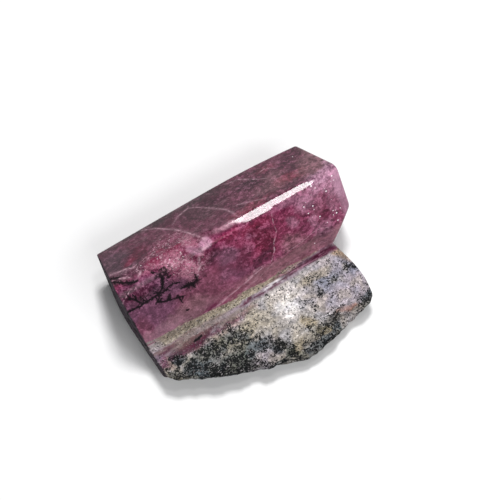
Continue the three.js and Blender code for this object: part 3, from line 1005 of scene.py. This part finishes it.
def rhodonite():
    n = Nodes("rhodonite")
    colour = n.field("ground", "Color")
    dark, matrix = n.field("dark"), n.field("matrix")
    flecks, broken, dark_base = n.field("flecks"), n.field("broken"), n.field("dark_base")
    upper = n.field("upper")
    bar_part = n.math("SUBTRACT", 1.0, matrix, clamp=True)
    polished = n.math("SUBTRACT", bar_part, dark_base, clamp=True)

    # Crystal mottling of the bar, counted in doublings of its brightness: the deep parts are
    # richer in colour and the pale ones greyer.
    fine = n.noise(0.55, 2, 0.6, shift=3)
    stops = n.sum(
        (2.2, n.noise(5.0, 3, 0.6, (1, 0.75, 0.75), 1)),
        (2.8, n.noise(1.7, 3, 0.65, (1, 0.75, 0.75), 2)),
        (1.1, n.facets(1.6, 20)),
        (1.0, n.facets(0.8, 21)),
        (2.0, fine),
    )
    # The mottling is evened out under the painted sheen veil.
    stops = n.math("MULTIPLY", stops, n.math("SUBTRACT", polished, n.field("sheen_veil"), clamp=True))
    colour = n.blend(1.0, colour, n.grey(n.math("POWER", 2.0, stops)), "MULTIPLY")
    greyer = n.math("MULTIPLY", n.ramp(stops, -0.1, 1.9, 0.0, 0.65), n.ramp(upper, 0.0, 1.0, 1.0, 0.7))
    colour = n.blend(greyer, colour, tone("orchid"))
    richer = n.blend(1.0, colour, (0.95, 0.5, 0.85, 1), "MULTIPLY")
    colour = n.blend(n.ramp(stops, -0.3, -1.6, 0.0, 0.7), colour, richer)

    # Feathery light wisps on the upper face, drawn out along the bar.
    thread = n.math("ABSOLUTE", n.math("SUBTRACT", n.noise(7, 4, 0.6, (0.45, 1, 1), 13), 0.5))
    bunches = n.ramp(n.noise(5, 3, 0.6, shift=14), 0.42, 0.58)
    thread = n.math("MULTIPLY", n.ramp(thread, 0.026, 0.004), bunches)
    wisp = n.ramp(n.noise(1.6, 4, 0.7, (1, 0.7, 0.7), 15), 0.54, 0.70)
    wisp = n.math("MAXIMUM", n.math("MULTIPLY", thread, 0.4), n.math("MULTIPLY", wisp, 0.16))
    wisp = n.math("MULTIPLY", wisp, n.math("ADD", n.math("MULTIPLY", upper, 0.9), 0.1))
    colour = n.blend(n.math("MULTIPLY", wisp, polished), colour, tone("wisp"))

    # Pale flecks crowd the pink zone, with a few whitish ones among them.
    pale = n.sum((0.5, n.facets(1.1, 25)), (3.0, n.noise(1.0, 4, 0.8, shift=16)))
    pale = n.ramp(pale, 0.14, 0.4, 0.0, 0.9)
    colour = n.blend(n.math("MULTIPLY", n.math("MULTIPLY", pale, flecks), polished), colour, tone("blush"))
    whitish = n.sum((0.5, n.facets(0.6, 26)), (2.4, n.noise(0.8, 4, 0.8, shift=28)), (0.5, flecks))
    fleck = n.ramp(whitish, 0.5, 0.75, 0.0, 0.8)
    colour = n.blend(n.math("MULTIPLY", fleck, polished), colour, tone("white"))

    # Salt-and-pepper grains of the matrix: the dark ones gather in clumps.
    shade_of_grain = n.sum((1.2, n.facets(0.9, 22)), (2.0, n.noise(2.2, 3, 0.6, shift=19)), (2.2, fine))
    shade_of_grain = n.math("POWER", 2.0, n.math("MULTIPLY", shade_of_grain, matrix))
    colour = n.blend(1.0, colour, n.grey(shade_of_grain), "MULTIPLY")
    clump = n.sum((3.2, n.noise(2.8, 3, 0.6, shift=6)), (1.5, n.noise(0.9, 3, 0.7, shift=23)))
    share = n.math("ADD", dark, n.math("MULTIPLY", clump, n.ramp(dark, 0.0, 0.45, 0.2, 1.0)))
    pepper = n.ramp(n.math("SUBTRACT", share, n.facets(0.46, 24)), -0.06, 0.06)
    pepper = n.math("MULTIPLY", pepper, matrix)
    colour = n.blend(n.math("MULTIPLY", pepper, 0.95), colour, tone("black"))
    salt = n.math("MULTIPLY", n.ramp(n.noise(0.7, 2, 0.7, shift=7), 0.60, 0.68), matrix)
    colour = n.blend(n.math("MULTIPLY", salt, 0.35), colour, tone("white"))

    # Veins and dendrites.
    broken_up = n.ramp(n.noise(1.1, 3, 0.7, shift=18), 0.36, 0.6, 0.0, 0.75)
    fading = n.ramp(n.noise(4, 2, shift=30), 0.38, 0.56, 0.35, 1.0)
    pale = n.math("MULTIPLY", strand_mask(n, "pale", 2.0, 0.9), broken_up)
    pale = n.math("MULTIPLY", pale, fading)
    mist = n.ramp(n.field("pale_far"), 5.0, 0.5, 0.0, 0.14)
    mist = n.math("MULTIPLY", mist, n.math("MULTIPLY", upper, polished))
    colour = n.blend(n.math("MAXIMUM", pale, mist), colour, tone("vein"))
    smudge = n.field("smudge")
    halo = n.math("MULTIPLY", n.ramp(n.field("black_far"), 5.0, 0.8, 0.0, 0.26), bar_part)
    dusty = n.math("MAXIMUM", n.math("MULTIPLY", smudge, 0.3), halo)
    dusting = n.math("ADD", n.noise(0.9, 4, 0.8, shift=8), dusty)
    dusting = n.ramp(dusting, 0.68, 0.78)
    dusting = n.math("MULTIPLY", dusting, n.ramp(n.math("ADD", smudge, halo), 0.02, 0.2))
    black = n.math("MULTIPLY", strand_mask(n, "black", 2.2, 0.5), 0.95)
    inky = n.math("MAXIMUM", n.math("MULTIPLY", dusting, 0.92), black)
    colour = n.blend(inky, colour, tone("black"))

    # Painted glints: bright points painted into the colour where a cleavage face would turn to the light.
    spot, chance, size = n.cells(1.2, 9)
    share = n.math("ADD", n.math("MULTIPLY", n.field("painted_glint_area"), 0.55), 0.004)
    edge = n.math("ADD", n.math("MULTIPLY", n.math("POWER", size, 3.0), 0.24), 0.06)
    painted_glint = n.ramp(n.math("SUBTRACT", spot, edge), 0.06, -0.06)
    painted_glint = n.math("MULTIPLY", painted_glint, n.math("LESS_THAN", chance, share))
    colour = n.blend(n.math("MULTIPLY", painted_glint, polished), colour, (0.95, 0.85, 0.9, 1))
    blotch = n.ramp(n.noise(3, 4, 0.75, shift=27), 0.35, 0.65, 0.3, 2.4)
    colour = n.blend(dark_base, colour, n.blend(1.0, colour, n.grey(blotch), "MULTIPLY"))
    n.put(n.shader.inputs["Base Color"], colour)

    # Polished, but dull in the dark grains and veins, on the sawn base and where it is broken.
    gloss = n.ramp(n.noise(5, 3, 0.6, shift=10), 0.3, 0.7, 0.08, 0.13)
    gloss = n.math("MULTIPLY", gloss, n.ramp(matrix, 0.0, 1.0, 1.0, 0.42))
    scratch = n.ramp(n.noise(0.45, 1, 0.5, (0.05, 1, 1), 29, -17), 0.54, 0.6, 0.0, 0.3)
    dull = n.math("MAXIMUM", n.math("MULTIPLY", pepper, 0.9), n.math("MULTIPLY", scratch, matrix))
    dull = n.math("MAXIMUM", dull, inky)
    dull = n.math("MAXIMUM", dull, n.math("MAXIMUM", broken, dark_base))
    gloss = n.math("MAXIMUM", gloss, n.math("MULTIPLY", dull, 0.95))
    n.put(n.shader.inputs["Roughness"], gloss)
    n.shader.inputs["Specular IOR Level"].default_value = 0.125

    rough = n.math("ADD", broken, n.math("MULTIPLY", dark_base, 0.35))
    height = n.math("MULTIPLY", n.noise(0.5, 3, 0.7, shift=11), rough)
    height = n.math("ADD", height, n.math("MULTIPLY", n.noise(1.8, 3, 0.6, shift=12), 0.01))
    bump = n.add("ShaderNodeBump")
    bump.inputs["Distance"].default_value = 0.0005
    bump.inputs["Strength"].default_value = 0.8
    n.put(bump.inputs["Height"], height)
    n.put(n.shader.inputs["Normal"], bump.outputs[0])
    return n.material


piece, places = stone_object()
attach(piece, "root")
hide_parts(NODE)
keep_fields(piece.data, paint(places))
piece.data.materials.append(rhodonite())

# ---------------------------------------------------------------- floor, light and camera

CAMERA_AZIMUTH = -28.6
CAMERA_ELEVATION = 75
CAMERA_DISTANCE = 0.7
CAMERA_AIM = (0.006104, 0.008618, 0.022)
CAMERA_LENS = 126
CAMERA_SENSOR = 36
FLOOR_SIZE = 6
FLOOR_GREY = 0.86
SKY = (0.97, 0.98, 1.0, 1)
SKY_STRENGTH = 0.22


def camera():
    azimuth, elevation = math.radians(CAMERA_AZIMUTH), math.radians(CAMERA_ELEVATION)
    back = Vector((
        math.sin(azimuth) * math.cos(elevation),
        -math.cos(azimuth) * math.cos(elevation),
        math.sin(elevation),
    ))
    right = Vector((math.cos(azimuth), math.sin(azimuth), 0))
    up = back.cross(right)
    data = bpy.data.cameras.new("camera")
    data.lens = CAMERA_LENS
    data.sensor_width = CAMERA_SENSOR
    cam = bpy.data.objects.new("camera", data)
    turn = Matrix((right, up, back)).transposed().to_4x4()
    cam.matrix_world = Matrix.Translation(Vector(CAMERA_AIM) + back * CAMERA_DISTANCE) @ turn
    bpy.context.scene.collection.objects.link(cam)
    bpy.context.scene.camera = cam


def floor():
    bpy.ops.mesh.primitive_plane_add(size=FLOOR_SIZE)
    plane = bpy.context.object
    plane.name = "floor"
    material = bpy.data.materials.new("floor")
    material.use_nodes = True
    shader = material.node_tree.nodes["Principled BSDF"]
    shader.inputs["Base Color"].default_value = (FLOOR_GREY, FLOOR_GREY, FLOOR_GREY, 1)
    shader.inputs["Roughness"].default_value = 0.9
    shader.inputs["Specular IOR Level"].default_value = 0.1
    plane.data.materials.append(material)


def softbox(name, toward, distance, size, power, colour=(1, 1, 1)):
    data = bpy.data.lights.new(name, "AREA")
    data.shape = "RECTANGLE"
    data.size, data.size_y = size
    data.energy = power
    data.color = colour
    light = bpy.data.objects.new(name, data)
    toward = Vector(toward).normalized()
    light.location = toward * distance
    light.rotation_euler = toward.to_track_quat("Z", "Y").to_euler()
    bpy.context.scene.collection.objects.link(light)


camera()
floor()
softbox("ridge_lamp", (0.166, 0.296, 0.94), 0.952, (0.16, 0.16), 6.4)
softbox("shelf_lamp", (0.136, 0.05, 0.99), 0.914, (0.078, 0.078), 0.78)
softbox("front_panel", (0.16, -0.57, 0.8), 1.1, (0.7, 0.5), 5.0)
world = bpy.data.worlds.new("world")
bpy.context.scene.world = world
world.use_nodes = True
world.node_tree.nodes["Background"].inputs["Color"].default_value = SKY
world.node_tree.nodes["Background"].inputs["Strength"].default_value = SKY_STRENGTH
bpy.context.scene.view_settings.view_transform = "Standard"
